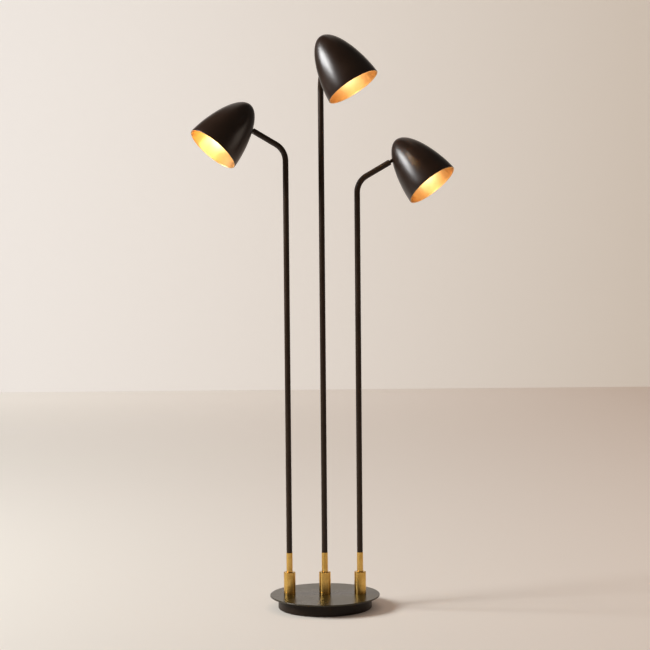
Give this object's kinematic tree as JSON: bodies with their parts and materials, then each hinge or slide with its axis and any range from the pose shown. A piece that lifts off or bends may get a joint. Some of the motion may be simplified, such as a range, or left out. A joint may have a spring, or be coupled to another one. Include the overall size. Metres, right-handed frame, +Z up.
{
  "type": "three-headed floor lamp",
  "caption": "Free-standing floor lamp: slim poles bent over at the top rise from brass sockets on a round base and carry bullet-shaped shades on ball joints, each with a bulb.",
  "frame": {"origin": "centre of the base on the floor, where the foot ring rests", "axes": "+Z up along the poles, +X along the row of poles to the right as seen from the front, -Y to the front"},
  "size_m": [0.7175, 0.39, 1.5701],
  "materials": {
    "bronze_enamel": "satin dark bronze enamel",
    "dark_enamel": "semi-gloss black-brown enamel; the shades are gold inside",
    "polished_brass": "polished",
    "cast_iron": "raw casting",
    "zinc_steel": "zinc plated",
    "rubber": "matte",
    "ivory_plastic": "moulded",
    "warm_glass": "frosted, lit"
  },
  "bodies": {
    "base": {"base_plate": "bronze_enamel", "base_plinth": "bronze_enamel", "base_weight": "cast_iron", "bottom_cover": "dark_enamel", "cover_screws": "zinc_steel", "foot_ring": "rubber", "cord_grommet": "rubber", "terminal_block": "ivory_plastic", "stems": "zinc_steel", "stem_nuts": "zinc_steel", "stop_screws": "zinc_steel", "left_socket": "polished_brass", "middle_socket": "polished_brass", "right_socket": "polished_brass"},
    "left_arm": {"left_pole": "dark_enamel", "left_sleeve": "polished_brass"},
    "left_knuckle": {"left_seat": "dark_enamel", "left_seat_pins": "zinc_steel"},
    "left_head": {"left_ball_stud": "dark_enamel", "left_outer_saddle": "dark_enamel", "left_shade": "dark_enamel", "left_inner_saddle": "zinc_steel", "left_bracket": "zinc_steel", "left_head_nuts": "zinc_steel", "left_holder": "ivory_plastic", "left_bulb_cap": "polished_brass", "left_bulb": "warm_glass"},
    "middle_arm": {"middle_pole": "dark_enamel", "middle_sleeve": "polished_brass"},
    "middle_knuckle": {"middle_seat": "dark_enamel", "middle_seat_pins": "zinc_steel"},
    "middle_head": {"middle_ball_stud": "dark_enamel", "middle_outer_saddle": "dark_enamel", "middle_shade": "dark_enamel", "middle_inner_saddle": "zinc_steel", "middle_bracket": "zinc_steel", "middle_head_nuts": "zinc_steel", "middle_holder": "ivory_plastic", "middle_bulb_cap": "polished_brass", "middle_bulb": "warm_glass"},
    "right_arm": {"right_pole": "dark_enamel", "right_sleeve": "polished_brass"},
    "right_knuckle": {"right_seat": "dark_enamel", "right_seat_pins": "zinc_steel"},
    "right_head": {"right_ball_stud": "dark_enamel", "right_outer_saddle": "dark_enamel", "right_shade": "dark_enamel", "right_inner_saddle": "zinc_steel", "right_bracket": "zinc_steel", "right_head_nuts": "zinc_steel", "right_holder": "ivory_plastic", "right_bulb_cap": "polished_brass", "right_bulb": "warm_glass"}
  },
  "joints": [
    {"name": "left_turn", "type": "hinge", "parent": "base", "child": "left_arm", "pos_m": [-0.098, 0, 0.08], "axis": [0, 0, 1], "range_deg": [-45, 30]},
    {"name": "left_swivel", "type": "hinge", "parent": "left_arm", "child": "left_knuckle", "pos_m": [-0.18409, -0.01988, 1.32103], "axis": [-0.8438, -0.1948, 0.5], "range_deg": [-45, 45]},
    {"name": "left_tilt", "type": "hinge", "parent": "left_knuckle", "child": "left_head", "pos_m": [-0.18409, -0.01988, 1.32103], "axis": [-0.2286, -0.7125, -0.6634], "range_deg": [-8, 52]},
    {"name": "middle_turn", "type": "hinge", "parent": "base", "child": "middle_arm", "pos_m": [0, 0, 0.08], "axis": [0, 0, 1], "range_deg": [-15, 45]},
    {"name": "middle_swivel", "type": "hinge", "parent": "middle_arm", "child": "middle_knuckle", "pos_m": [0.01153, -0.0876, 1.50903], "axis": [0.113, -0.8586, 0.5], "range_deg": [-45, 45]},
    {"name": "middle_tilt", "type": "hinge", "parent": "middle_knuckle", "child": "middle_head", "pos_m": [0.01153, -0.0876, 1.50903], "axis": [0.8062, 0.3734, 0.4589], "range_deg": [-41, 19]},
    {"name": "right_turn", "type": "hinge", "parent": "base", "child": "right_arm", "pos_m": [0.098, 0, 0.08], "axis": [0, 0, 1], "range_deg": [-45, 45]},
    {"name": "right_swivel", "type": "hinge", "parent": "right_arm", "child": "right_knuckle", "pos_m": [0.1863, 0.00308, 1.23303], "axis": [0.8655, 0.0302, 0.5], "range_deg": [-45, 45]},
    {"name": "right_tilt", "type": "hinge", "parent": "right_knuckle", "child": "right_head", "pos_m": [0.1863, 0.00308, 1.23303], "axis": [0.4881, 0.1736, -0.8554], "range_deg": [-15.5, 44.5]}
  ]
}
